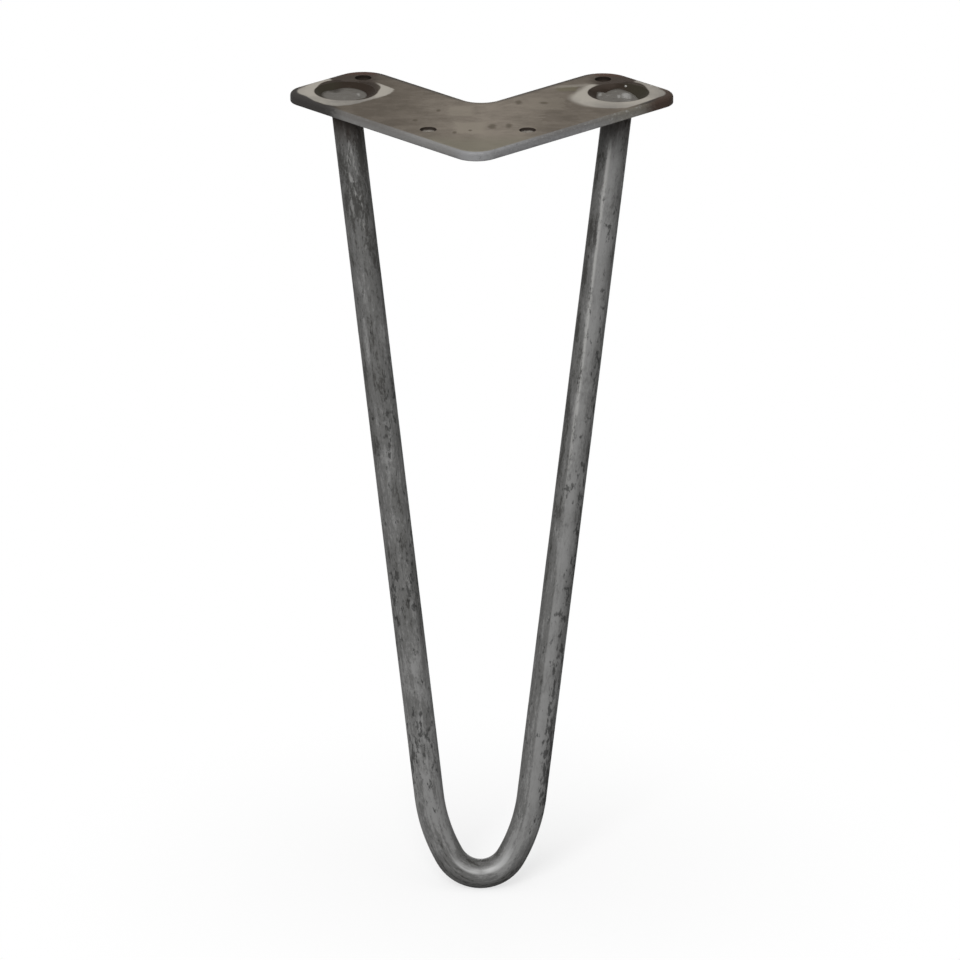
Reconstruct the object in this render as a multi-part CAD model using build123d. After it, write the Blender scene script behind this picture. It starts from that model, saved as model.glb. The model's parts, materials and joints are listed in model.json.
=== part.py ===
from build123d import *
import os
from math import asin, atan2, cos, degrees, hypot, radians, sin, sqrt, tan

# Hairpin table leg: one round bar bent into a narrow V and plug-welded into a chevron plate.
# Millimetres, +Z up. The origin is on the plate's top face, where the centre lines of its two arms cross.
# The plate's outer corner points along -Y, and the leg is symmetric about the YZ plane.

# Leg
LEG_HEIGHT = 254.0              # from the plate's top face down to the floor
ROD_DIAMETER = 9.5
LEAN_ANGLE = 10.5               # of the bar's plane from upright, outwards below the plate's outer corner
BEND_RADIUS = 11.3              # of the tight bend at the foot, to the bar's centre line
BEND_HALF_ANGLE = 60.0          # that the tight bend turns through on each side of the foot
FLANK_RADIUS = 53.0             # of the slack curve between the tight bend and each straight leg

# Plate, measured along an arm from the sharp outer corner, and inwards from the arm's outer edge
PLATE_THICKNESS = 3.2
ARM_LENGTH = 90.0
ARM_WIDTH = 36.0
ARM_TIP_RADIUS = 7.0            # at the outer corner of an arm's end
ARM_BACK_RADIUS = 10.0          # at the inner corner of an arm's end
ELBOW_OUTER_RADIUS = 8.0
ELBOW_INNER_RADIUS = 7.0
TOP_RIM_RADIUS = 1.2            # the rim is drawn over at the top, as punching leaves it
BOTTOM_RIM_RADIUS = 0.4

# Screw holes: one near the outer corner and one in the inner corner of the end, on each arm
SCREW_HOLE_DIAMETER = 5.2
FRONT_SCREW_ALONG = 29.0        # from the sharp outer corner
FRONT_SCREW_EDGE = 7.0          # from the arm's outer edge
BACK_SCREW_EDGE = 8.0           # from the arm's end and from its inner edge

# Sockets: countersunk from the top, with a short plain land that the bar passes
SOCKET_END_DISTANCE = 14.0      # from the end of the arm
SOCKET_EDGE_DISTANCE = 14.7     # from the arm's outer edge
SOCKET_ANGLE = 120.0            # of the countersink's cone
SOCKET_LAND = 0.5
ROD_CLEARANCE = 0.1             # around the leaning bar where it passes the land

# Weld pools in the bottom of the sockets
WELD_THICKNESS = 1.1            # at the pool's rim, above the bar's end
WELD_CROWN = 0.25               # how far the pool's middle stands above its rim

# Places on the plate that follow from the sizes above
ELBOW = ARM_WIDTH / sqrt(2)     # from the sharp outer corner to the crossing of the arms' centre lines
FRONT_SCREW = (FRONT_SCREW_ALONG, FRONT_SCREW_EDGE)
BACK_SCREW = (ARM_LENGTH - BACK_SCREW_EDGE, ARM_WIDTH - BACK_SCREW_EDGE)
SOCKET = (ARM_LENGTH - SOCKET_END_DISTANCE, SOCKET_EDGE_DISTANCE)
SIDES = {"left": -1, "right": 1}


def arm_point(along, inwards, side=1):
    """Plan position of a point on one arm: side is 1 for the right arm and -1 for the left."""
    return (side * (along - inwards) / sqrt(2), (along + inwards) / sqrt(2) - ELBOW)


# The bar's plane passes the sockets half-way down their lands and leans outwards towards the foot
ROD_RADIUS = ROD_DIAMETER / 2
SOCKET_X, SOCKET_Y = arm_point(*SOCKET)
SOCKET_DEPTH = PLATE_THICKNESS - SOCKET_LAND
SEAT_DEPTH = SOCKET_DEPTH + SOCKET_LAND / 2
LEAN = radians(LEAN_ANGLE)
ROD_PLANE = Plane(
    origin=(0, SOCKET_Y, -SEAT_DEPTH),
    x_dir=(1, 0, 0),
    z_dir=(0, -cos(LEAN), sin(LEAN)),
)

# In that plane each straight leg is tangent to its flank curve, and the bend's lowest point touches the floor
FOOT_REACH = (LEG_HEIGHT - ROD_RADIUS - SEAT_DEPTH) / cos(LEAN)
BEND_HALF = radians(BEND_HALF_ANGLE)
FLANK_OFFSET = FLANK_RADIUS - BEND_RADIUS
TO_FLANK_X = SOCKET_X + FLANK_OFFSET * sin(BEND_HALF)
TO_FLANK_Y = FOOT_REACH - BEND_RADIUS - FLANK_OFFSET * cos(BEND_HALF)
TO_FLANK = hypot(TO_FLANK_X, TO_FLANK_Y)
SPLAY = atan2(TO_FLANK_X, TO_FLANK_Y) - asin(FLANK_RADIUS / TO_FLANK)
STRAIGHT_LENGTH = sqrt(TO_FLANK**2 - FLANK_RADIUS**2)

# The land lets the leaning bar pass, and the countersink opens upwards from it
ROD_TILT_COS = cos(SPLAY) * cos(LEAN)
ROD_TILT_TAN = sqrt(1 / ROD_TILT_COS**2 - 1)
LAND_RADIUS = ROD_RADIUS / ROD_TILT_COS + ROD_TILT_TAN * SOCKET_LAND / 2 + ROD_CLEARANCE
CONE_SLOPE = tan(radians(SOCKET_ANGLE / 2))
SOCKET_RADIUS = LAND_RADIUS + SOCKET_DEPTH * CONE_SLOPE


def mounting_plate():
    """Chevron plate with four screw holes and two countersunk sockets."""
    arm_end = [(ARM_LENGTH, 0), (ARM_LENGTH, ARM_WIDTH)]
    end_radii = [ARM_TIP_RADIUS, ARM_BACK_RADIUS]
    corners = [arm_point(0, 0)]
    corners += [arm_point(*corner) for corner in arm_end]
    corners += [arm_point(ARM_WIDTH, ARM_WIDTH)]
    corners += [arm_point(*corner, side=-1) for corner in reversed(arm_end)]
    radii = [ELBOW_OUTER_RADIUS, *end_radii, ELBOW_INNER_RADIUS, *reversed(end_radii)]
    outline = FilletPolyline(*corners, radius=radii, close=True)
    plate = extrude(make_face(outline), -PLATE_THICKNESS)
    plate = fillet(plate.edges().group_by(Axis.Z)[-1], TOP_RIM_RADIUS)
    plate = fillet(plate.edges().group_by(Axis.Z)[0], BOTTOM_RIM_RADIUS)
    screw_hole = Cylinder(SCREW_HOLE_DIAMETER / 2, 3 * PLATE_THICKNESS)
    for side in SIDES.values():
        plate -= Pos(*arm_point(*SOCKET, side)) * socket_space()
        for screw in (FRONT_SCREW, BACK_SCREW):
            plate -= Pos(*arm_point(*screw, side)) * screw_hole
    return plate


def socket_space():
    """The space that a socket leaves in the plate: a cone that ends in a short plain hole."""
    profile = Polyline(
        (0, 0),
        (SOCKET_RADIUS, 0),
        (LAND_RADIUS, -SOCKET_DEPTH),
        (LAND_RADIUS, -PLATE_THICKNESS),
        (0, -PLATE_THICKNESS),
        close=True,
    )
    return revolve(make_face(Plane.XZ * profile), Axis.Z)


def hairpin_rod():
    """One bent bar, with its two ends cut level at the bottom of the countersinks."""
    overrun = ROD_DIAMETER      # above the seats, before the ends are cut
    flank_turn = 90 - degrees(SPLAY) - BEND_HALF_ANGLE
    start = (-SOCKET_X - overrun * sin(SPLAY), overrun * cos(SPLAY))
    length = overrun + STRAIGHT_LENGTH
    left_leg = PolarLine(start, length, direction=(sin(SPLAY), -cos(SPLAY)))
    left_flank = JernArc(left_leg @ 1, left_leg % 1, FLANK_RADIUS, flank_turn)
    foot = JernArc(left_flank @ 1, left_flank % 1, BEND_RADIUS, 2 * BEND_HALF_ANGLE)
    right_flank = JernArc(foot @ 1, foot % 1, FLANK_RADIUS, flank_turn)
    right_leg = PolarLine(right_flank @ 1, length, direction=right_flank % 1)
    path = ROD_PLANE * Wire([left_leg, left_flank, foot, right_flank, right_leg])
    section = Plane(origin=path @ 0, z_dir=path % 0) * Circle(ROD_RADIUS)
    bar = sweep(section, path)
    return split(bar, Plane.XY.offset(-SOCKET_DEPTH), keep=Keep.BOTTOM)


def plug_weld(side):
    """Weld pool on the bar's end, filling the bottom of the countersink with a low crown."""
    rim = (LAND_RADIUS + WELD_THICKNESS * CONE_SLOPE, WELD_THICKNESS)
    crown = (0, WELD_THICKNESS + WELD_CROWN)
    wall = Polyline(crown, (0, 0), (LAND_RADIUS, 0), rim)
    face = TangentArc(crown, rim, tangent=(1, 0))
    pool = revolve(make_face(Plane.XZ * (wall + face)), Axis.Z)
    return Pos(*arm_point(*SOCKET, side), -SOCKET_DEPTH) * pool


os.makedirs("parts", exist_ok=True)
nodes = {"mounting_plate": mounting_plate(), "hairpin_rod": hairpin_rod()}
for name, side in SIDES.items():
    nodes[f"plug_weld_{name}"] = plug_weld(side)
for node, solid in nodes.items():
    export_step(solid, f"parts/{node}.step")
print(f"splay {degrees(SPLAY):.2f} deg, socket {2 * SOCKET_RADIUS:.2f} mm, land hole {2 * LAND_RADIUS:.2f} mm")
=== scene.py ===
"""The looks of a raw steel hairpin table leg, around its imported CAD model.

The chevron plate is the CAD node with a mill scale finish. The bent bar and the two weld pools are finer
meshes that stand for their CAD nodes. Shapes are in metres in the part's own frame, and the materials work
in millimetres.
"""
import json
from math import asin, atan2, ceil, cos, exp, hypot, pi, radians, sin, sqrt, tan

import bmesh
import bpy
from mathutils import Matrix, Quaternion, Vector, noise


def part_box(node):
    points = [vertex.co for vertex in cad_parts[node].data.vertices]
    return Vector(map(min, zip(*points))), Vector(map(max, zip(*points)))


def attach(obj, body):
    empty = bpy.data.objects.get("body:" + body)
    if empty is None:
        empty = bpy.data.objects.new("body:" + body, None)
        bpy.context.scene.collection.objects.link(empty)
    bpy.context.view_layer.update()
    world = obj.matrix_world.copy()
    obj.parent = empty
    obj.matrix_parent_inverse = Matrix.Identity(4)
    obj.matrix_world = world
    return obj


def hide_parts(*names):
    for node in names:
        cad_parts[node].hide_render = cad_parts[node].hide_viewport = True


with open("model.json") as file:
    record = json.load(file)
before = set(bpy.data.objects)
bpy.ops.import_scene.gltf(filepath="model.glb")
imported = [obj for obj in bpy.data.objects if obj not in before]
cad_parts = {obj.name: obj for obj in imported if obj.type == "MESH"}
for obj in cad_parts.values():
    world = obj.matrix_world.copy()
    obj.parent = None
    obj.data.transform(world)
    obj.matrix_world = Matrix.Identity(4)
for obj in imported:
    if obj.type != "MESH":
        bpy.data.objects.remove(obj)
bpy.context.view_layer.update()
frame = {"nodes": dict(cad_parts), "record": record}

MM = 0.001

# The bar, as bent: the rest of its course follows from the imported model
BAR_RADIUS = 4.75 * MM
LEAN = radians(10.5)                # of the bar's plane from upright
BEND_RADIUS = 11.3 * MM             # of the tight bend at the foot
BEND_HALF = radians(60.0)           # that the tight bend turns through on each side of the foot
FLANK_RADIUS = 53.0 * MM            # of the slack curve above it
BAR_RINGS_APART = 1.2 * MM
BAR_SEGMENTS = 72
BAR_WAVINESS = 0.035 * MM           # how far the rolled surface strays from round
BAR_WAVE = 3.0 * MM                 # across one wave, round the bar
BAR_WAVE_STRETCH = 4                # how much longer a wave is along the bar

# The sockets
SOCKET_LAND = 0.5 * MM
SOCKET_RADIUS = 9.697 * MM          # at the plate's top face
CONE_SLOPE = tan(radians(60.0))     # of the countersink: radius gained for each unit of height
SEAT_GAP = 0.02 * MM                # between a weld pool's skin and the wall that it fused to

# The plate in millimetres: along an arm from the sharp outer corner, and inwards from its outer edge
ARM_LENGTH = 90.0
ARM_WIDTH = 36.0
TIP_RADIUS = 7.0                    # at the outer corner of an arm's end
BACK_RADIUS = 10.0                  # at the inner corner of an arm's end
OUTER_ELBOW_RADIUS = 8.0
INNER_ELBOW_RADIUS = 7.0
ELBOW = ARM_WIDTH / sqrt(2)         # from the sharp outer corner to the part's origin

# Camera, from the photograph: where it aims, how far off it stands and how it is turned
AIM = Vector((0.0, 6.54, -119.35)) * MM
CAMERA_DISTANCE = 3.0
AZIMUTH = radians(1.86)
ELEVATION = radians(20.31)
ROLL = radians(-0.233)
LENS_MM = 353.6
SENSOR_MM = 36.0

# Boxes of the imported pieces
BAR_LOW, BAR_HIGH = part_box("hairpin_rod")
POOL_LOW, POOL_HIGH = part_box("plug_weld_right")
SOCKET_X = (POOL_LOW.x + POOL_HIGH.x) / 2
SOCKET_Y = (POOL_LOW.y + POOL_HIGH.y) / 2
SOCKET_DEPTH = -POOL_LOW.z
LAND_RADIUS = SOCKET_RADIUS - SOCKET_DEPTH * CONE_SLOPE
FLOOR_Z = BAR_LOW.z

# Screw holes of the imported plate
MOUNTS = {mount["name"]: mount for mount in frame["record"]["mounts"]}
SCREW_RADIUS = MOUNTS["front_screws"]["dims"]["hole_r_mm"]


def screw_place(name):
    """Where the right one of a pair of screw holes is, across and back in millimetres."""
    pair = MOUNTS[name]
    return pair["dims"]["spacing_x_mm"] / 2, pair["pos_m"][1] / MM


# Meshes

def new_piece(name, mesh, replaced, material):
    """Put a finished mesh into the scene as the piece that stands for one CAD node."""
    piece = bpy.data.objects.new(name, mesh)
    bpy.context.scene.collection.objects.link(piece)
    piece.data.materials.append(material)
    for face in mesh.polygons:
        face.use_smooth = True
    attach(piece, "root")
    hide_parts(replaced)
    return piece


# The bent bar

FOOT = Vector((0.0, BAR_LOW.y + BAR_RADIUS, BAR_LOW.z + BAR_RADIUS))
UP_PLANE = Vector((0.0, sin(LEAN), cos(LEAN)))
FROM_PLANE = Vector((0.0, -cos(LEAN), sin(LEAN)))
SEAT_Z = -(SOCKET_DEPTH + SOCKET_LAND / 2)
FOOT_REACH = (SEAT_Z - FOOT.z) / cos(LEAN)
FLANK_OFFSET = FLANK_RADIUS - BEND_RADIUS
FLANK_ACROSS = -FLANK_OFFSET * sin(BEND_HALF)               # from the foot to the slack curve's centre
FLANK_UP = BEND_RADIUS + FLANK_OFFSET * cos(BEND_HALF)      # and up the bar's plane
TO_FLANK = Vector((SOCKET_X - FLANK_ACROSS, FOOT_REACH - FLANK_UP))
SPLAY = atan2(TO_FLANK.x, TO_FLANK.y) - asin(FLANK_RADIUS / TO_FLANK.length)
LEG_HEADING = pi / 2 - SPLAY
BEND_END = BEND_RADIUS * BEND_HALF
FLANK_END = BEND_END + FLANK_RADIUS * (LEG_HEADING - BEND_HALF)


def bar_course(along):
    """Centre and heading of the bar at a distance from its foot, to the left where that is negative."""
    side = -1 if along < 0 else 1
    reach = abs(along)
    if reach < BEND_END:
        turn = reach / BEND_RADIUS
        across = BEND_RADIUS * sin(turn)
        height = BEND_RADIUS * (1 - cos(turn))
    else:
        on_flank = min(reach, FLANK_END)
        turn = BEND_HALF + (on_flank - BEND_END) / FLANK_RADIUS
        straight = reach - on_flank
        across = FLANK_ACROSS + FLANK_RADIUS * sin(turn) + straight * cos(turn)
        height = FLANK_UP - FLANK_RADIUS * cos(turn) + straight * sin(turn)
    centre = FOOT + Vector((side * across, 0, 0)) + UP_PLANE * height
    heading = Vector((cos(turn), 0, 0)) + UP_PLANE * (side * sin(turn))
    return centre, heading


def bar_half_length():
    """From the foot along the bar to where its middle meets the level cut at the socket's bottom."""
    centre, heading = bar_course(FLANK_END)
    return FLANK_END + (BAR_HIGH.z - centre.z) / heading.z


BAR_HALF = bar_half_length()


def hairpin_bar(material):
    """The bar, swept along its course; each point keeps its place on the unbent bar, for the finish."""
    steps = ceil(BAR_HALF / BAR_RINGS_APART)
    mesh = bpy.data.meshes.new("hairpin_bar")
    shape = bmesh.new()
    straight = shape.verts.layers.float_vector.new("straight_bar")
    rings = []
    for step in range(-steps, steps + 1):
        along = BAR_HALF * step / steps
        centre, heading = bar_course(along)
        inwards = FROM_PLANE.cross(heading)
        ring = []
        for segment in range(BAR_SEGMENTS):
            angle = 2 * pi * segment / BAR_SEGMENTS
            flat = Vector((cos(angle), sin(angle), 0)) * BAR_RADIUS
            place = flat + Vector((0, 0, along))
            wave = noise.noise(Vector((place.x, place.y, place.z / BAR_WAVE_STRETCH)) / BAR_WAVE)
            radius = 1 + BAR_WAVINESS * wave / BAR_RADIUS
            point = centre + (inwards * flat.x + FROM_PLANE * flat.y) * radius
            if abs(step) == steps:
                point += heading * ((BAR_HIGH.z - point.z) / heading.z)
            vertex = shape.verts.new(point)
            vertex[straight] = place
            ring.append(vertex)
        rings.append(ring)
    for ring, after in zip(rings, rings[1:]):
        for i in range(BAR_SEGMENTS):
            j = (i + 1) % BAR_SEGMENTS
            shape.faces.new((ring[i], ring[j], after[j], after[i]))
    shape.faces.new(list(reversed(rings[0])))
    shape.faces.new(rings[-1])
    bmesh.ops.recalc_face_normals(shape, faces=shape.faces)
    shape.to_mesh(mesh)
    shape.free()
    return new_piece("hairpin_bar", mesh, "hairpin_rod", material)


# The weld pools

POOL_RINGS = 40
POOL_SEGMENTS = 112
POOL_RIM_DEPTH = 1.5 * MM           # below the plate's top face
POOL_CROWN = 0.16 * MM
RIM_SWAY = 0.10 * MM                # how far the rim wanders up and down
RIM_WAVES = 1.7                     # about as many to each radian round it
POOL_RIPPLE = 0.03 * MM
RIPPLE_TURN = 2.4                   # radians of ripple to each millimetre back
RIPPLE_BEND = 1.1                   # radians that the ripples stray from straight
RIPPLE_BEND_SIZE = 2.5 * MM
POOL_GRAIN_SIZE = 0.9 * MM

# Lumps on a pool: place across and back from the socket's middle, width and height, in millimetres
LEFT_LUMPS = [(0.6, 2.4, 4.2, 0.12), (4.4, 0.2, 1.6, 0.08), (-3.4, -1.8, 3.0, 0.10)]
RIGHT_LUMPS = [
    (0.8, 4.0, 3.0, 0.20),
    (-4.6, 2.4, 1.8, 0.16),
    (2.4, 0.4, 2.0, 0.18),
    (4.0, -1.2, 1.4, 0.12),
]
# Where a pool's rim runs down the wall, or up it: bearing and width in degrees, and depth in millimetres
LEFT_RIM = [(123.0, 21.0, 0.34), (95.0, 60.0, -0.18), (180.0, 50.0, -0.25), (0.0, 50.0, 0.12)]
RIGHT_RIM = [(92.0, 18.0, -0.40), (131.0, 9.0, 0.30), (150.0, 14.0, -0.40), (18.0, 45.0, 0.60)]
# A bead of spatter on the right socket's wall: across and back from the middle, and up
SPATTER = Vector((2.2, 8.3, -0.66)) * MM
SPATTER_RADIUS = 0.45 * MM


def socket_middle(side):
    """A socket's middle on the plate's top face; side is -1 on the left and 1 on the right."""
    return Vector((side * SOCKET_X, SOCKET_Y, 0))


def rim_depth(side, rim_runs, bearing):
    """How far below the plate's top face a pool's rim lies."""
    sway = noise.noise(Vector((cos(bearing), sin(bearing), side)) * RIM_WAVES)
    depth = POOL_RIM_DEPTH + RIM_SWAY * sway
    for run_bearing, width, run_depth in rim_runs:
        off = (bearing - radians(run_bearing) + pi) % (2 * pi) - pi
        depth += run_depth * MM * exp(-(off / radians(width)) ** 2)
    return depth


def pool_point(side, lumps, rim_runs, bearing, share):
    """A point on a pool's skin, from the socket's middle where share is 0 to the rim where it is 1."""
    depth = rim_depth(side, rim_runs, bearing)
    rim = LAND_RADIUS + (SOCKET_DEPTH - depth) * CONE_SLOPE - SEAT_GAP
    across = share * rim * cos(bearing)
    back = share * rim * sin(bearing)
    height = -depth * share**4 - POOL_RIM_DEPTH * (1 - share**4) + POOL_CROWN * (1 - share**2)
    inner = 1 - share**6
    for lump_across, lump_back, width, lump_height in lumps:
        off = hypot(across / MM - lump_across, back / MM - lump_back) / width
        height += lump_height * MM * exp(-2 * off**2) * inner
    stray = noise.noise(Vector((across, back, 0)) / RIPPLE_BEND_SIZE)
    ripple = sin(RIPPLE_TURN * back / MM + RIPPLE_BEND * stray)
    grain = noise.noise(Vector((across, back, side * MM)) / POOL_GRAIN_SIZE)
    height += POOL_RIPPLE * (0.6 * ripple + 0.4 * grain) * inner
    return socket_middle(side) + Vector((across, back, height))


def weld_pool(name, side, lumps, rim_runs, material, beads=()):
    """A frozen weld pool in the bottom of one socket: lumpy and rippled, with an uneven rim."""
    middle = socket_middle(side)
    mesh = bpy.data.meshes.new(name)
    shape = bmesh.new()
    bearings = [2 * pi * k / POOL_SEGMENTS for k in range(POOL_SEGMENTS)]
    top = shape.verts.new(pool_point(side, lumps, rim_runs, 0, 0))
    rings = []
    for i in range(1, POOL_RINGS + 1):
        points = [pool_point(side, lumps, rim_runs, bearing, i / POOL_RINGS) for bearing in bearings]
        rings.append([shape.verts.new(point) for point in points])
    foot_radius = LAND_RADIUS - SEAT_GAP
    foot_ring = []
    for bearing in bearings:
        seat = Vector((foot_radius * cos(bearing), foot_radius * sin(bearing), -SOCKET_DEPTH))
        foot_ring.append(shape.verts.new(middle + seat))
    rings.append(foot_ring)
    for k in range(POOL_SEGMENTS):
        after = (k + 1) % POOL_SEGMENTS
        shape.faces.new((top, rings[0][k], rings[0][after]))
        for inner_ring, outer_ring in zip(rings, rings[1:]):
            shape.faces.new((inner_ring[k], outer_ring[k], outer_ring[after], inner_ring[after]))
    shape.faces.new(list(reversed(foot_ring)))
    for bead in beads:
        place = Matrix.Translation(middle + bead)
        bmesh.ops.create_icosphere(shape, subdivisions=3, radius=SPATTER_RADIUS, matrix=place)
    bmesh.ops.recalc_face_normals(shape, faces=shape.faces)
    shape.to_mesh(mesh)
    shape.free()
    return new_piece(name, mesh, "plug_" + name.removesuffix("_pool"), material)


# Materials: arithmetic on a Field adds the nodes that work it out at each point of a surface

class Field:
    """A number that varies over a surface."""

    def __init__(self, tree, socket):
        self.tree = tree
        self.socket = socket

    def math(self, operation, *values):
        node = self.tree.nodes.new("ShaderNodeMath")
        node.operation = operation
        for place, value in zip(node.inputs, (self, *values)):
            feed(place, value)
        return Field(self.tree, node.outputs[0])

    def __add__(self, other):
        return self.math("ADD", other)

    def __sub__(self, other):
        return self.math("SUBTRACT", other)

    def __mul__(self, other):
        return self.math("MULTIPLY", other)

    def __truediv__(self, other):
        return self.math("DIVIDE", other)

    def __rsub__(self, other):
        return self.math("MULTIPLY_ADD", -1.0, other)

    __radd__ = __add__
    __rmul__ = __mul__

    def size(self):
        return self.math("ABSOLUTE")

    def at_least(self, other):
        return self.math("MAXIMUM", other)

    def at_most(self, other):
        return self.math("MINIMUM", other)

    def as_share(self):
        """Held between 0 and 1."""
        return self.at_least(0.0).at_most(1.0)

    def rise(self, low, high):
        """0 below low and 1 above high, with a smooth step between; it falls where high is under low."""
        node = self.tree.nodes.new("ShaderNodeMapRange")
        node.interpolation_type = "SMOOTHSTEP"
        feed(node.inputs["Value"], self)
        falls = low > high
        feed(node.inputs["From Min"], min(low, high))
        feed(node.inputs["From Max"], max(low, high))
        feed(node.inputs["To Min"], 1.0 if falls else 0.0)
        feed(node.inputs["To Max"], 0.0 if falls else 1.0)
        return Field(self.tree, node.outputs["Result"])


def feed(socket, value):
    """Give an input a field, a colour's socket or a plain value."""
    if isinstance(value, Field):
        value.tree.links.new(value.socket, socket)
    elif isinstance(value, bpy.types.NodeSocket):
        socket.id_data.links.new(value, socket)
    else:
        socket.default_value = value


def length(across, back):
    """Length of the line with these two parts."""
    return (across * across + back * back).math("SQRT")


def away(x, y, place, across=1.0, back=1.0):
    """Distance in the plate's plane from a place, as a share of the reach across and back."""
    return length((x - place[0]) / across, (y - place[1]) / back)


class Finish:
    """A material with one principled shader, and what its patterns are made of."""

    def __init__(self, name):
        self.material = bpy.data.materials.new(name)
        self.material.use_nodes = True
        self.tree = self.material.node_tree
        self.shader = self.tree.nodes["Principled BSDF"]

    def parts(self, socket, scale):
        """A vector's three parts, times scale."""
        node = self.tree.nodes.new("ShaderNodeSeparateXYZ")
        feed(node.inputs[0], socket)
        return [Field(self.tree, out) * scale for out in node.outputs]

    def place(self):
        """Where the point is, in millimetres in its object's frame, which is the part's for each piece."""
        return self.parts(self.tree.nodes.new("ShaderNodeTexCoord").outputs["Object"], 1 / MM)

    def facing(self):
        """Which way the surface faces, in the part's frame."""
        return self.parts(self.tree.nodes.new("ShaderNodeTexCoord").outputs["Normal"], 1.0)

    def straight_place(self):
        """Where the point was on the unbent bar, in millimetres: inwards, towards the viewer and along."""
        node = self.tree.nodes.new("ShaderNodeAttribute")
        node.attribute_name = "straight_bar"
        return self.parts(node.outputs["Vector"], 1 / MM)

    def noise(self, x, y, z, detail=3.0, roughness=0.5, distortion=0.0):
        """Cloudy noise about 0, mostly within 0.25 of it, with features about one unit across."""
        vector = self.tree.nodes.new("ShaderNodeCombineXYZ")
        for place, value in zip(vector.inputs, (x, y, z)):
            feed(place, value)
        node = self.tree.nodes.new("ShaderNodeTexNoise")
        feed(node.inputs["Vector"], vector.outputs[0])
        node.inputs["Scale"].default_value = 1.0
        node.inputs["Detail"].default_value = detail
        node.inputs["Roughness"].default_value = roughness
        node.inputs["Distortion"].default_value = distortion
        return Field(self.tree, node.outputs["Fac"]) - 0.5

    def blend(self, under, over, share):
        """One colour over another."""
        node = self.tree.nodes.new("ShaderNodeMix")
        node.data_type = "RGBA"
        feed(node.inputs["Factor"], share)
        feed(node.inputs[6], rgba(under))
        feed(node.inputs[7], rgba(over))
        return node.outputs[2]

    def complete(self, colour, roughness, metallic, height, gloss):
        """Feed the shader; height is in millimetres, and gloss is how much a non-metal reflects."""
        feed(self.shader.inputs["Base Color"], colour)
        feed(self.shader.inputs["Roughness"], roughness)
        feed(self.shader.inputs["Metallic"], metallic)
        self.shader.inputs["Specular IOR Level"].default_value = gloss
        bump = self.tree.nodes.new("ShaderNodeBump")
        bump.inputs["Distance"].default_value = MM
        feed(bump.inputs["Height"], height)
        feed(self.shader.inputs["Normal"], bump.outputs["Normal"])
        return self.material


def rgba(colour):
    """A plain colour gets its fourth number; a socket stays as it is."""
    return (*colour, 1.0) if isinstance(colour, tuple) else colour


# The plate's finish

# Colours, as linear red, green and blue
SCALE_PALE = (0.226, 0.197, 0.163)
SCALE_DARK = (0.103, 0.087, 0.070)
SCALE_WORN = (0.244, 0.216, 0.176)
SCALE_OLIVE = (0.174, 0.163, 0.124)
SCALE_GREEN = (0.140, 0.125, 0.086)
SCALE_SPOT = (0.075, 0.062, 0.046)
GROUND_STEEL = (0.392, 0.364, 0.318)
GROUND_DULL = (0.222, 0.208, 0.188)
HEAT_TINT = (0.050, 0.039, 0.032)
HEAT_RED = (0.080, 0.040, 0.030)
WALL_BROWN = (0.028, 0.021, 0.016)
WALL_OLIVE = (0.034, 0.031, 0.022)
HOLE_DARK = (0.022, 0.016, 0.012)
# Bare metal low in the front screw holes, with a painted reflection of the floor in it.
HOLE_BARE_AND_REFLECTION = (0.235, 0.215, 0.190)
# Burnt steel with painted shade, at the back screw holes' mouths.
HOLE_BURNT_AND_SHADE = (0.012, 0.008, 0.006)
EDGE_GREY = (0.208, 0.204, 0.199)
EDGE_BRIGHT = (0.224, 0.224, 0.227)
EDGE_DULL = (0.132, 0.125, 0.117)
EDGE_GLINT = (0.300, 0.298, 0.296)
EDGE_DARK = (0.044, 0.041, 0.039)
EDGE_BROWN = (0.056, 0.040, 0.032)

# Patches on the scale: place, half width across and back in millimetres, colour and strength
SCALE_PATCHES = [
    ((-2.8, 2.0), 5.2, 6.2, SCALE_WORN, 0.80),
    ((-6.0, 19.0), 4.2, 5.6, SCALE_WORN, 0.60),
    ((21.0, 27.0), 6.5, 6.5, SCALE_WORN, 0.35),
    ((25.0, 12.0), 6.0, 3.2, SCALE_DARK, 0.50),
    ((22.0, 0.6), 4.6, 2.6, SCALE_DARK, 0.45),
    ((23.2, 17.2), 3.0, 2.0, SCALE_DARK, 0.50),
    ((27.0, 42.2), 3.6, 2.6, SCALE_GREEN, 0.70),
]
# Brown spots on the scale: place, half width across and back
SCALE_SPOTS = [
    ((4.4, 3.6), 1.6, 3.2),
    ((9.6, 4.2), 1.2, 3.0),
    ((12.0, 28.0), 1.3, 2.6),
    ((20.0, 27.6), 1.7, 1.5),
    ((-2.4, -0.6), 0.7, 1.0),
    ((-7.2, -2.8), 0.8, 1.6),
    ((-13.0, 19.2), 0.8, 1.5),
    ((-20.0, 9.2), 1.0, 1.6),
]


def past_corner(along, inwards):
    """Distance past the centre of a rounded corner, which counts only what lies beyond it either way."""
    return length(along.at_least(0.0), inwards.at_least(0.0))


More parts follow.
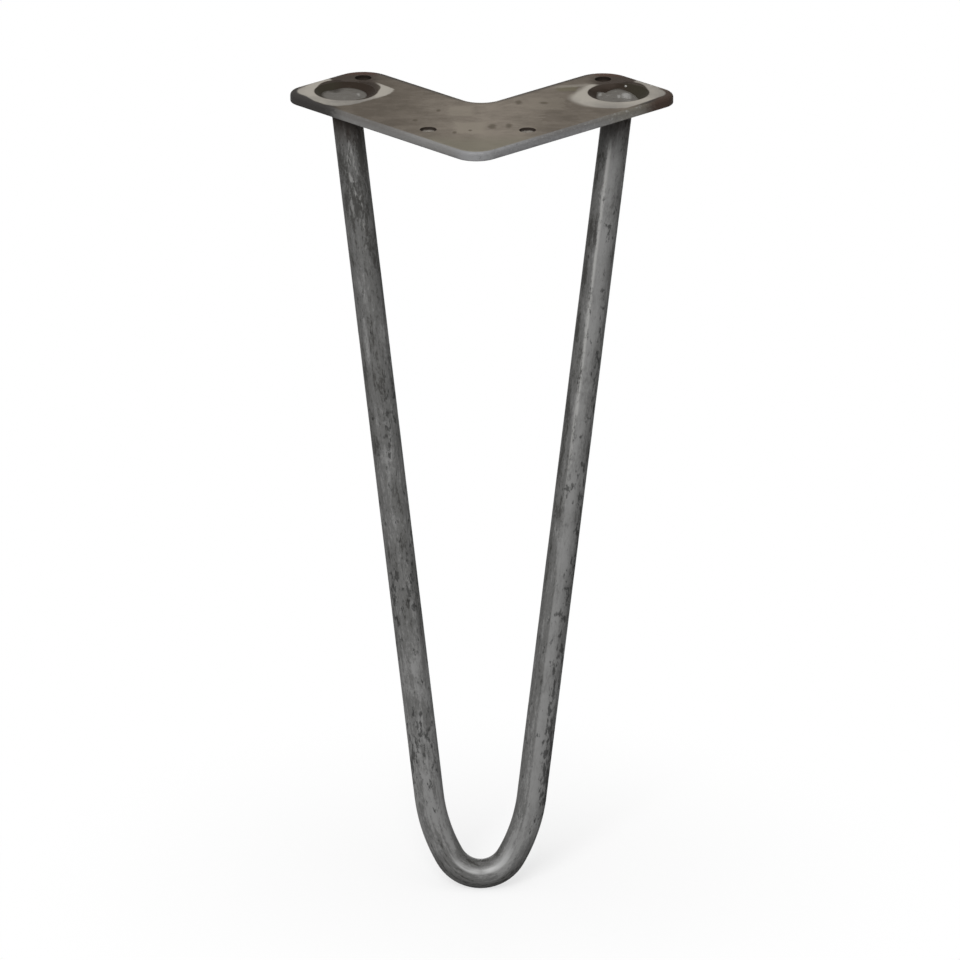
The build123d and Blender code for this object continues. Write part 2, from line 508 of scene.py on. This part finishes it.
class PlatePlan:
    """Where a point is on the plate, in millimetres, and the cloudy patterns that its finish shares."""

    def __init__(self, finish):
        self.x, self.y, self.z = x, y, z = finish.place()
        _, self.facing_back, self.facing_up = finish.facing()
        self.arm_x = x.size()
        self.right = x.rise(-3.0, 3.0)
        self.left = 1 - self.right
        self.along = (self.arm_x + y + ELBOW) / sqrt(2)
        self.inwards = (y + ELBOW - self.arm_x) / sqrt(2)
        self.notch = self.notch_distance()
        self.margin = self.rim_distance()
        self.dx = self.arm_x - SOCKET_X / MM
        self.dy = y - SOCKET_Y / MM
        self.reach = length(self.dx, self.dy)
        self.bearing = self.bearing_from(0.0)
        self.at_tip = self.arm_x.rise(52.0, 57.0)
        self.before_left_tip = self.left * self.arm_x.rise(45.0, 50.0) * self.arm_x.rise(56.0, 52.0)
        self.on_top = self.facing_up.rise(0.90, 0.985)
        self.blotch = finish.noise(x * 0.10, y * 0.13, z * 0.3, detail=5.0, roughness=0.62)
        self.streak = finish.noise(x * 0.05, y * 0.32, z * 0.3, detail=4.0, roughness=0.62)
        self.grain = finish.noise(x * 1.7, y * 1.7, z * 1.7, detail=3.0, roughness=0.6)
        self.jagged = finish.noise(x * 0.35, y * 0.50, z * 0.3, detail=5.0, roughness=0.7)
        self.ragged = finish.noise(x * 0.45, y * 0.45, z * 0.3, detail=4.0, roughness=0.6)
        self.torn = finish.noise(self.along * 0.5, self.inwards * 0.5, z * 0.9, detail=4.0, roughness=0.65)

    def notch_distance(self):
        """From a point on the top face to the notch between the arms."""
        corner = ARM_WIDTH + INNER_ELBOW_RADIUS
        return past_corner(corner - self.along, corner - self.inwards) - INNER_ELBOW_RADIUS

    def rim_distance(self):
        """From a point on the top face to the plate's outline, round its corners too."""
        along, inwards = self.along, self.inwards
        tip = TIP_RADIUS - past_corner(along - (ARM_LENGTH - TIP_RADIUS), TIP_RADIUS - inwards)
        past_end = along - (ARM_LENGTH - BACK_RADIUS)
        back = BACK_RADIUS - past_corner(past_end, inwards - (ARM_WIDTH - BACK_RADIUS))
        outer = OUTER_ELBOW_RADIUS - past_corner(OUTER_ELBOW_RADIUS - along, OUTER_ELBOW_RADIUS - inwards)
        return tip.at_most(back).at_most(outer).at_most(self.notch)

    def bearing_from(self, degrees):
        """Bearing about the socket in radians, from the given one; 0 is outwards and 90 degrees back."""
        turn = radians(degrees)
        across = self.dx * cos(turn) + self.dy * sin(turn)
        back = self.dy * cos(turn) - self.dx * sin(turn)
        return back.math("ARCTAN2", across)

    def lip_radius(self):
        """How far the burnt lip of a socket reaches: further inwards on the left and at the outer back."""
        inner = self.left * self.dx.rise(-1.0, -7.0) * (self.dy.rise(-1.0, 6.0) * 1.6 + 0.7)
        outer_back = self.bearing.rise(0.3, 1.1) * self.dx.rise(0.0, 3.0) * 2.0
        return inner + outer_back + SOCKET_RADIUS / MM


def mill_scale(f, p):
    """Scale with blotches and rolling streaks, paler in the middle, with patches and brown spots."""
    shade = p.arm_x.rise(32.0, 2.0) * 0.62 + p.right * 0.20 + 0.07
    middle = p.arm_x.rise(30.0, 14.0) * p.y.rise(-9.0, 0.0)
    shade = shade + p.blotch * 1.3 + p.streak * 0.5 + p.jagged * middle * 0.9 + p.grain * 0.35
    colour = f.blend(SCALE_DARK, SCALE_PALE, shade.as_share())
    colour = f.blend(colour, SCALE_OLIVE, p.y.rise(-3.0, -15.0) * 0.6)
    for place, across, back, patch_colour, strength in SCALE_PATCHES:
        outside = ((p.x - place[0]) / across).size().at_least(((p.y - place[1]) / back).size())
        colour = f.blend(colour, patch_colour, (outside + p.jagged * 1.5).rise(1.10, 0.70) * strength)
    for place, across, back in SCALE_SPOTS:
        outside = away(p.x, p.y, place, across, back)
        colour = f.blend(colour, SCALE_SPOT, (outside + p.jagged * 0.8).rise(1.25, 0.30) * 0.7)
    return colour


def burnt_behind(f, p, colour):
    """Heat tint behind each socket, red at the back corner, and a burnt lip round the socket's mouth."""
    behind = p.bearing.rise(1.10, 1.22) * (p.arm_x + p.left * 1.5 + p.ragged * 4).rise(32.0, 38.0)
    behind = behind * p.dy.rise(3.0, 8.0)
    burnt = f.blend(HEAT_TINT, HEAT_RED, (p.y + p.ragged * 4).rise(53.5, 58.0) * 0.8)
    burnt = f.blend(burnt, SCALE_DARK, (p.blotch + p.streak).rise(0.02, 0.30) * 0.35)
    colour = f.blend(colour, burnt, behind * 0.95)
    soft = p.left * p.dx.rise(0.0, -6.0) * p.dy.rise(0.0, 4.0)
    lip = ((p.reach - p.lip_radius() + p.ragged * 0.5) / (soft * 5 + 1)).rise(0.3, -0.3)
    return f.blend(colour, WALL_BROWN, lip * 0.85)


# The ground rings, in millimetres
RING_RADIUS = 15.7
RING_FRONT = -133.0                 # bearing of a ring's inner front, in degrees
LEFT_DRAWN_IN = 3.45                # at the left ring's inner front
RIGHT_BULGE = 1.30                  # at the right ring's inner front
RIGHT_DRAWN_IN = 3.2                # at the right ring's inner back
HORN_END = (31.3, 44.8)             # across and back
SMEAR = (29.0, 45.2)                # across and back
SMEAR_SLOPE = 0.2                   # how far it runs back for each millimetre across


def ring_edge(p):
    """Round each socket, the area inside the ring's outer edge."""
    inner = p.dx.rise(-4.0, -10.0)
    inner_front = p.bearing_from(RING_FRONT).size().rise(1.08, 0.0)
    radius = inner_front * (p.right * (RIGHT_BULGE + LEFT_DRAWN_IN) - LEFT_DRAWN_IN) + RING_RADIUS
    radius = radius - p.right * inner * p.dy.rise(-8.0, 3.0) * RIGHT_DRAWN_IN
    softness = p.right * inner * 2.0 + 1
    return ((p.reach - radius + p.ragged * 1.6) / softness).rise(0.5, -0.5)


def ring_horn(p):
    """The inner side of a ring, which ends in a horn towards the back."""
    end = (p.arm_x - HORN_END[0]) * (1.14 - p.right) + p.right * 1.5 + HORN_END[1]
    horn = p.dx.rise(0.0, -3.0) * (end - p.y + p.ragged * 0.8).rise(-0.35, 0.35)
    return horn * (1 - (p.arm_x - p.right * 3).rise(32.0, 34.5) * p.dy.rise(3.0, 6.0))


def ground_smear(p):
    """A smear of ground metal that runs on from the right ring's horn."""
    off_line = p.y - SMEAR[1] - (p.x - SMEAR[0]) * SMEAR_SLOPE
    return (off_line + p.ragged * 1.5).size().rise(1.9, 0.5) * p.x.rise(20.0, 26.0) * p.x.rise(37.0, 33.0)


def ground_ring(p):
    """Where a disc has ground the scale off round each socket, short of its lip and the plate's rim."""
    ring = ring_edge(p) * ring_horn(p).at_least(p.bearing.rise(1.20, 1.12))
    ring = ring * (p.reach - p.lip_radius()).rise(-0.1, 0.4)
    kept_off = p.right * 0.4 + 1.2 - p.dy.rise(2.0, 7.0) * (p.right * 0.9 + 0.3)
    kept_off = kept_off + p.at_tip * (p.right * 0.1 + 0.6) - p.before_left_tip
    ring = ring * (p.margin - kept_off + p.ragged * 0.6).rise(-0.3, 0.3)
    return ring.at_least(ground_smear(p) * 0.4) * p.on_top


def ground_steel(f, p):
    """Ground metal: bright on the side towards the plate's middle, duller and clouded round the rest."""
    cloud = p.ragged * 0.9 + p.blotch * 0.8
    front = p.dy.rise(-3.0, -8.0)
    bright = ((p.reach + cloud * 4).rise(15.0, 11.0) * 0.35 + 0.2) * (1 - p.left * front)
    bright = bright + p.dx.rise(-4.0, -11.0) * 0.65
    bright = bright + p.dx.rise(-2.0, 8.0) * (p.left * 0.55 + p.right * (front * 0.6 - 0.1))
    return f.blend(GROUND_DULL, GROUND_STEEL, (bright + cloud).as_share())


# Screw holes: the pair's name, and the colours at the mouth and below it. The darker mouth is painted
# shade, and the paler bare wall lower in the front holes carries a painted reflection of the floor.
SCREW_HOLES = [
    ("front_screws", HOLE_DARK, HOLE_BARE_AND_REFLECTION),
    ("back_screws", HOLE_BURNT_AND_SHADE, WALL_BROWN),
]


def socket_wall(f, p):
    """The colour of a socket's burnt wall."""
    colour = f.blend(WALL_BROWN, HEAT_TINT, (p.ragged + p.blotch).rise(0.0, 0.35) * 0.6)
    colour = f.blend(colour, WALL_OLIVE, p.dx.rise(0.0, 5.0) * 0.8)
    inner_back = p.dx.rise(1.0, -3.0) * p.dy.rise(2.0, 5.0)
    return f.blend(colour, HEAT_TINT, p.right * inner_back * (p.z + p.ragged).rise(-1.4, -0.3) * 0.8)


def inside_holes(f, p, colour):
    """The colour with that of the sockets' walls and of the screw holes over it, and where they are."""
    socket = SOCKET_RADIUS / MM
    wall = p.reach.rise(socket + 0.10, socket - 0.12) * p.facing_up.rise(-0.5, 0.2)
    colour = f.blend(colour, socket_wall(f, p), wall)
    inside = wall
    for pair, mouth, below in SCREW_HOLES:
        hole = away(p.arm_x, p.y, screw_place(pair)).rise(SCREW_RADIUS + 0.12, SCREW_RADIUS - 0.02)
        # Darker at the mouth and paler below: painted shade at the mouth.
        hole_colour = f.blend(mouth, below, (p.z + p.grain * 0.6).rise(-0.75, -1.25))
        colour = f.blend(colour, hole_colour, hole)
        inside = inside.at_least(hole)
    return colour, inside


def punched_rim(f, p):
    """The rim's colour: burnished by the punch, brightest at the elbow and dark at the arms' ends, with
    painted shade on the faces that face back.
    """
    edge = f.blend(EDGE_GREY, EDGE_BRIGHT, p.arm_x.rise(9.0, 3.0).at_least(p.right * 0.9))
    shoulder = (p.z + p.torn * 1.5).rise(-2.2, -0.4) * (p.right * 0.1 + 0.6) + 0.4 - p.right * 0.3
    edge = f.blend(edge, EDGE_DULL, (p.arm_x + p.torn * 14 + p.right * 6).rise(14.0, 34.0) * shoulder)
    edge = f.blend(edge, SCALE_GREEN, p.right * (p.arm_x + p.torn * 14).rise(32.0, 48.0) * 0.5)
    foot = (p.z + p.torn * 0.8).rise(-1.5, -3.0) * p.arm_x.rise(36.0, 18.0) * p.arm_x.rise(1.0, 8.0)
    edge = f.blend(edge, EDGE_DARK, foot * (0.30 - p.right * 0.10))
    mottled = p.torn + p.grain * 0.6
    edge = f.blend(edge, EDGE_GLINT, mottled.rise(0.0, 0.28) * (p.right * 0.45 + 0.2))
    edge = f.blend(edge, EDGE_DARK, mottled.rise(-0.04, -0.30) * (p.right * 0.35 + 0.15))
    # Dark at the arms' ends, brown on the right; the same dark is painted shade on the rim's faces that
    # face back.
    burnt = f.blend(EDGE_DARK, EDGE_BROWN, p.right)
    ends = (p.arm_x + p.torn * 7 - p.right * 7).rise(42.0, 49.0)
    return f.blend(edge, burnt, ends.at_least(p.facing_back.rise(0.0, 0.4) * 0.8))


def painted_rim_shade(p):
    """Painted shade of the rounded edges, as dark borders on the top face: along the notch, round the
    arms' tips and thinly along their ends.
    """
    notch = p.notch.rise(3.2, 1.0) * (p.arm_x.rise(0.0, 12.0) * 0.4 + 0.4)
    tip = p.dy.rise(5.0, 1.0) * (p.arm_x - p.right * 6).rise(42.0, 48.0)
    width = p.at_tip * (p.right * 0.2 + 0.4) - p.before_left_tip * 1.1
    tip = tip * (p.margin - width).rise(2.3, 1.5) * 0.95
    end = p.along.rise(80.0, 85.0) * p.margin.rise(1.6, 0.7) * (0.65 - p.right * 0.5)
    return notch.at_least(tip).at_least(end) * p.facing_up.rise(0.0, 0.5)


def plate_finish():
    """Mill scale with ground rings and heat tint round the sockets, and a burnished punched rim."""
    f = Finish("plate_steel")
    p = PlatePlan(f)
    colour = burnt_behind(f, p, mill_scale(f, p))
    ring = ground_ring(p)
    colour = f.blend(colour, ground_steel(f, p), ring * 0.95)
    # Painted shade along the top face's borders, brown at the right tip.
    rim_shade_colour = f.blend(EDGE_DARK, EDGE_BROWN, p.right * p.at_tip)
    colour = f.blend(colour, rim_shade_colour, painted_rim_shade(p))
    colour, inside = inside_holes(f, p, colour)
    rim = p.facing_up.size().rise(0.985, 0.80) * (1 - inside)
    colour = f.blend(colour, punched_rim(f, p), rim)
    roughness = 0.60 - ring * 0.12 - rim * 0.08 + p.grain * 0.25
    metallic = ring * 0.06 + rim * 0.04 + 0.02
    height = p.blotch * 0.03 + p.streak * 0.012 + p.grain * 0.014 + rim * p.torn * 0.05 - ring * 0.02
    return f.complete(colour, roughness, metallic, height * (1 - inside), gloss=0.02)


# The bar's finish

# Colours, as linear red, green and blue
BAR_MID = (0.123, 0.122, 0.119)
BAR_PALE = (0.214, 0.213, 0.210)
BAR_DARK = (0.055, 0.054, 0.051)
BAR_FLAKE = (0.024, 0.024, 0.023)
# Scraped metal, and the colour of the painted highlight line.
BAR_SCRAPE_AND_HIGHLIGHT = (0.300, 0.298, 0.290)
# The colour of the painted highlight inside the bend.
BAR_BEND_HIGHLIGHT = (0.330, 0.330, 0.327)
BAR_BURNT = (0.043, 0.034, 0.029)


class BarPlan:
    """Where a point was on the unbent bar, in millimetres, and the patterns that its finish shares."""

    def __init__(self, finish):
        self.x, self.y, self.s = x, y, s = finish.straight_place()
        self.right = s.rise(-6.0, 6.0)
        self.left = 1 - self.right
        self.rightwards = x * (1 - self.right * 2)
        self.front = y.rise(-1.0, 2.0)
        self.from_foot = s.size()
        self.below_plate = BAR_HALF / MM - self.from_foot
        self.bend = (self.from_foot + self.right * 15).rise(46.0, 32.0)
        self.mottle = finish.noise(
            x * 0.30, y * 0.30, s * 0.085, detail=6.0, roughness=0.66, distortion=0.3,
        )
        self.cloud = finish.noise(x * 0.10, y * 0.10, s * 0.030, detail=3.0)
        self.line = finish.noise(x * 1.1, y * 1.1, s * 0.016, detail=3.0, roughness=0.6)
        self.grain = finish.noise(x * 2.0, y * 2.0, s * 0.9, detail=3.0, roughness=0.65)


def rolled_scale(f, b):
    """Mottled scale with finer drawing lines, paler towards the foot and darker along some sides, with
    painted shade down the legs' left sides, under the bend and on its inner top.
    """
    shade = b.mottle * 1.8 + b.cloud * 0.7 + b.line * 0.7 + b.grain * 0.8
    shade = shade + b.from_foot.rise(150.0, 25.0) * 0.16 + 0.04
    shade = shade - b.left * b.below_plate.rise(80.0, 30.0) * b.rightwards.rise(0.4, 2.8) * 0.26
    # Painted shade down the left side of each leg.
    painted_side_shade = b.left * b.below_plate.rise(62.0, 40.0) + b.right * b.from_foot.rise(60.0, 90.0)
    shade = shade - painted_side_shade * b.rightwards.rise(-2.2, -4.0) * 0.12
    # Painted shade round the foot: under the bend, and on the inner top of its left half.
    round_foot = b.from_foot.rise(22.0, 10.0)
    shade = shade - round_foot * b.x.rise(-1.0, -4.2) * 0.36
    shade = shade - round_foot * b.s.rise(8.0, 4.0) * b.x.rise(2.0, 4.2) * 0.28
    colour = f.blend(BAR_MID, BAR_DARK, shade.rise(0.02, -0.34))
    return f.blend(colour, BAR_PALE, shade.rise(0.04, 0.46))


def scrapes(f, b):
    """Scrapes through the scale, most of them high on the left leg."""
    stroke = f.noise(b.x * 0.95, b.y * 0.95, b.s * 0.26, detail=3.5, roughness=0.62, distortion=0.9)
    scraped_zone = f.noise(b.x * 0.20, b.y * 0.20, b.s * 0.06, detail=2.0)
    high_left = b.left * b.below_plate.rise(50.0, 25.0) * b.below_plate.rise(10.0, 14.0)
    zone = (scraped_zone + high_left * 0.28).rise(0.04, 0.22)
    return stroke.rise(0.02, 0.15) * zone * (b.rightwards + 0.3).size().rise(2.8, 1.4)


def painted_highlight_line(b):
    """A broken line of painted highlight down the front of the right leg, which is smoother there too."""
    broken = (b.line + b.grain * 0.7 + b.mottle).rise(-0.22, 0.10)
    highlight_line = (b.rightwards + 1.05 + b.line * 1.2).size().rise(0.85, 0.20) * b.right * b.front * broken
    return highlight_line * b.below_plate.rise(10.0, 18.0) * b.below_plate.rise(150.0, 90.0)


def painted_sheen_stretch(b):
    """A stretch of painted sheen to the right of the painted highlight line."""
    sheen = (b.rightwards + b.line).rise(-1.5, -0.6) * b.rightwards.rise(5.0, 0.8) * b.right * b.front
    return sheen * b.below_plate.rise(8.0, 22.0) * b.from_foot.rise(6.0, 34.0)


def painted_bend_highlight(b):
    """Two stretches of painted highlight round the inside of the bend, which is smoother there too."""
    across = b.x + b.cloud * 1.5
    bend_highlight = across.rise(0.2, 0.9) * (across - b.right * 0.5).rise(2.7, 1.1) * b.front
    off_middle = ((b.s - 0.5).size() - 5.4).size() - b.s.rise(5.0, 12.0) * 2.5
    return bend_highlight * off_middle.rise(10.0, 1.5)


def dark_flakes(f, b):
    """Dark flakes in clusters, more of them on the right of the right leg and low down."""
    edge = f.noise(b.x * 0.80, b.y * 0.80, b.s * 0.36, detail=3.5, roughness=0.62)
    cluster = f.noise(b.x * 0.16, b.y * 0.16, b.s * 0.042, detail=3.0)
    low = b.from_foot.rise(80.0, 50.0)
    more = b.right * b.rightwards.rise(0.6, 3.2) * (low * 0.05 + 0.10)
    more = more + b.left * b.below_plate.rise(60.0, 90.0) * 0.05
    more = more + b.from_foot.rise(215.0, 120.0) * 0.04 + b.right * low * 0.02 - b.bend * 0.12
    return (edge + cluster * 0.55 + more).rise(0.13, 0.27)


def bar_finish():
    """Hot-rolled bar: scale with scrapes, painted highlights on the right leg and round the inside of the
    bend, painted shade under the foot, and burnt ends.
    """
    f = Finish("bar_steel")
    b = BarPlan(f)
    scrape = scrapes(f, b)
    sheen = painted_sheen_stretch(b)
    highlight_line = painted_highlight_line(b)
    bend_highlight = painted_bend_highlight(b)
    flake = dark_flakes(f, b)
    # Painted shade on the underside of the foot.
    underfoot_shade = (b.s - 1.0).size().rise(8.0, 3.0) * b.x.rise(-3.0, -4.3)
    burnt = (b.below_plate + b.mottle * 9 + b.right * 2.5).rise(17.0, 6.0)

    colour = f.blend(rolled_scale(f, b), BAR_SCRAPE_AND_HIGHLIGHT, scrape * 0.6)
    # Painted sheen beside the highlight line on the right leg.
    sheen_cloud = b.mottle * 1.8 + b.grain * 0.8 + 0.85
    colour = f.blend(colour, BAR_PALE, sheen * sheen_cloud.as_share())
    # Painted highlight line on the right leg.
    colour = f.blend(colour, BAR_SCRAPE_AND_HIGHLIGHT, highlight_line)
    # Painted highlight round the inside of the bend.
    bend_highlight_cloud = b.line + b.mottle * 1.3 + b.left * 0.15 + 0.92
    colour = f.blend(colour, BAR_BEND_HIGHLIGHT, bend_highlight * bend_highlight_cloud.as_share())
    colour = f.blend(colour, BAR_FLAKE, flake * (1 - bend_highlight) * 0.72)
    colour = f.blend(colour, BAR_FLAKE, underfoot_shade * 0.75)
    colour = f.blend(colour, BAR_BURNT, burnt * (0.9 - b.right * 0.1))

    smooth = bend_highlight * 0.10 + highlight_line * 0.12 + sheen * 0.04
    roughness = 0.46 - smooth + flake * 0.25 + burnt * 0.10 + b.grain * 0.28
    metallic = 0.04 + highlight_line * 0.15 + bend_highlight * 0.06 - flake * 0.03
    height = b.mottle * 0.09 + b.line * 0.02 + b.grain * 0.030 - flake * 0.05 - scrape * 0.015
    return f.complete(colour, roughness, metallic, height * (1 - b.bend * 0.7), gloss=0.02)


# The welds' finish

# Colours, as linear red, green and blue
WELD_GREY = (0.114, 0.106, 0.093)
# The colour of the painted glints.
WELD_GLINT = (0.330, 0.324, 0.308)
WELD_DARK = (0.036, 0.031, 0.026)

# Painted glints on the weld metal: place on the part, half width across and back in millimetres, and
# strength
WELD_GLINT_SPOTS = [
    ((-39.1, 39.3), 0.7, 1.6, 0.6),
    ((45.8, 39.6), 1.8, 3.0, 1.0),
    ((43.5, 39.0), 0.6, 1.8, 0.7),
    ((37.4, 40.6), 0.7, 1.4, 0.6),
]
# Painted shade in a crevice at the back of the left pool: place, half width across and back
WELD_CREVICE_SHADE = ((-47.2, 43.6), 2.9, 2.8)


def weld_finish():
    """Bare weld metal: grey and half matt, with painted glints, a dark oxide skin at the rim and painted
    shade in the left pool's crevice.
    """
    f = Finish("weld_steel")
    x, y, z = f.place()
    reach = away(x.size(), y, (SOCKET_X / MM, SOCKET_Y / MM))
    right = x.rise(-1.0, 1.0)
    cloud = f.noise(x * 0.45, y * 0.45, z * 0.6, detail=4.0, roughness=0.6)
    grain = f.noise(x * 2.2, y * 2.2, z * 2.2, detail=3.0, roughness=0.65)
    colour = f.blend(WELD_GREY, WELD_DARK, (cloud + grain * 0.5).rise(-0.05, -0.30) * 0.6)
    # Painted glints on the spatter bead, the listed spots and bright clouds, where the metal is also
    # smoother and more metallic.
    spatter = z.rise(-1.05, -0.9)
    glint = spatter
    for place, across, back, strength in WELD_GLINT_SPOTS:
        outside = away(x, y, place, across, back) + cloud * 2.0 + grain * 1.2
        glint = glint.at_least(outside.rise(1.2, 0.5) * strength)
    glint = glint.at_least((cloud + grain * 0.8).rise(0.06, 0.26) * (right * 0.45 + 0.15))
    colour = f.blend(colour, WELD_GLINT, glint * 0.8)
    rim = (reach + cloud * 1.6).rise(6.2, 7.3) * z.rise(-1.0, -1.2) * 0.7
    # Painted shade in the left pool's crevice, joined to the oxide rim.
    rim = rim.at_least((away(x, y, *WELD_CREVICE_SHADE) + cloud).rise(1.3, 0.3) * 0.85)
    colour = f.blend(colour, WELD_DARK, rim)
    roughness = 0.50 + rim * 0.2 - glint * 0.12 + grain * 0.2
    metallic = 0.16 + glint * 0.25 - rim * 0.12
    return f.complete(colour, roughness, metallic, cloud * 0.05 + grain * 0.03, gloss=0.06)


# Stage

WHITE = (1.0, 1.0, 1.0)
WORLD_FILL = 0.22                   # of white, as it lights the leg
FLOOR_RADIUS = 30.0                 # in metres
FLOOR_SEGMENTS = 64
FLOOR_WHITE = 0.98                  # as it is seen
FLOOR_BOUNCE = 0.42                 # as it lights the leg from below
FLOOR_ROUGHNESS = 0.9
FLOOR_GLOSS = 0.1
SHADOW_SHARE = 0.30                 # of the floor's own shading, at the foot
SHADOW_REACH = (10.0, 160.0)        # from the foot in millimetres, where that gives way to plain white

# Soft lights: azimuth and elevation in degrees, distance, width and height in metres, and watts
SOFT_LIGHTS = {
    "key": (-11.0, 37.0, 2.2, 1.0, 1.0, 40.0),
    "overhead": (0.0, 80.0, 1.6, 1.6, 1.6, 7.5),
    "behind": (180.0, -0.6, 2.2, 1.2, 0.2, 15.0),
}


def seen_directly(tree):
    """1 for what the camera sees, also in a reflection or through glass, and 0 for light on a surface."""
    path = tree.nodes.new("ShaderNodeLightPath")
    seen = Field(tree, path.outputs["Is Camera Ray"])
    for kind in ("Is Glossy Ray", "Is Transmission Ray"):
        seen = seen.at_least(path.outputs[kind])
    return seen


def white_world():
    """Plain soft light from all round, and a white background."""
    world = bpy.data.worlds.new("studio")
    bpy.context.scene.world = world
    world.use_nodes = True
    background = world.node_tree.nodes["Background"]
    feed(background.inputs["Color"], rgba(WHITE))
    feed(background.inputs["Strength"], seen_directly(world.node_tree) * (1 - WORLD_FILL) + WORLD_FILL)


def floor_finish():
    """Pale floor that takes the shadow round the foot and runs out to plain white."""
    f = Finish("floor_white")
    seen = seen_directly(f.tree)
    feed(f.shader.inputs["Base Color"], seen * (FLOOR_WHITE - FLOOR_BOUNCE) + FLOOR_BOUNCE)
    feed(f.shader.inputs["Roughness"], FLOOR_ROUGHNESS)
    feed(f.shader.inputs["Specular IOR Level"], FLOOR_GLOSS)
    x, y, _ = f.place()
    plain = length(x, y).rise(*SHADOW_REACH) * SHADOW_SHARE + 1 - SHADOW_SHARE
    white = f.tree.nodes.new("ShaderNodeEmission")
    feed(white.inputs["Color"], rgba(WHITE))
    mix = f.tree.nodes.new("ShaderNodeMixShader")
    feed(mix.inputs[0], plain * seen)
    feed(mix.inputs[1], f.shader.outputs[0])
    feed(mix.inputs[2], white.outputs[0])
    feed(f.tree.nodes["Material Output"].inputs["Surface"], mix.outputs[0])
    return f.material


def pale_floor():
    """A wide disc under the foot."""
    mesh = bpy.data.meshes.new("floor")
    shape = bmesh.new()
    bmesh.ops.create_circle(shape, cap_ends=True, segments=FLOOR_SEGMENTS, radius=FLOOR_RADIUS)
    shape.to_mesh(mesh)
    shape.free()
    floor = bpy.data.objects.new("floor", mesh)
    bpy.context.scene.collection.objects.link(floor)
    floor.location = (0.0, FOOT.y, FLOOR_Z)
    floor.data.materials.append(floor_finish())


def from_front(azimuth, elevation):
    """Direction from the leg to a place in front of it, turned to the right and raised."""
    return Vector((sin(azimuth) * cos(elevation), -cos(azimuth) * cos(elevation), sin(elevation)))


def soft_light(name, azimuth, elevation, distance, width, height, watts):
    """A soft light that faces the leg's middle; its azimuth counts from the front, to the right."""
    light = bpy.data.lights.new(name, "AREA")
    light.shape = "RECTANGLE"
    light.size = width
    light.size_y = height
    light.energy = watts
    lamp = bpy.data.objects.new(name, light)
    bpy.context.scene.collection.objects.link(lamp)
    towards = from_front(radians(azimuth), radians(elevation))
    lamp.location = AIM + towards * distance
    lamp.rotation_mode = "QUATERNION"
    lamp.rotation_quaternion = (-towards).to_track_quat("-Z", "Y")


def photo_camera():
    """A long lens at the photograph's viewing angle."""
    data = bpy.data.cameras.new("camera")
    data.lens = LENS_MM
    data.sensor_width = SENSOR_MM
    camera = bpy.data.objects.new("camera", data)
    bpy.context.scene.collection.objects.link(camera)
    back = from_front(AZIMUTH, ELEVATION)
    camera.location = AIM + back * CAMERA_DISTANCE
    camera.rotation_mode = "QUATERNION"
    camera.rotation_quaternion = (-back).to_track_quat("-Z", "Y") @ Quaternion((0, 0, 1), ROLL)
    bpy.context.scene.camera = camera


frame["nodes"]["mounting_plate"].active_material = plate_finish()
hairpin_bar(bar_finish())
weld_steel = weld_finish()
weld_pool("weld_left_pool", -1, LEFT_LUMPS, LEFT_RIM, weld_steel)
weld_pool("weld_right_pool", 1, RIGHT_LUMPS, RIGHT_RIM, weld_steel, beads=[SPATTER])

white_world()
pale_floor()
for name, setting in SOFT_LIGHTS.items():
    soft_light(name, *setting)
photo_camera()
bpy.context.scene.view_settings.view_transform = "Standard"
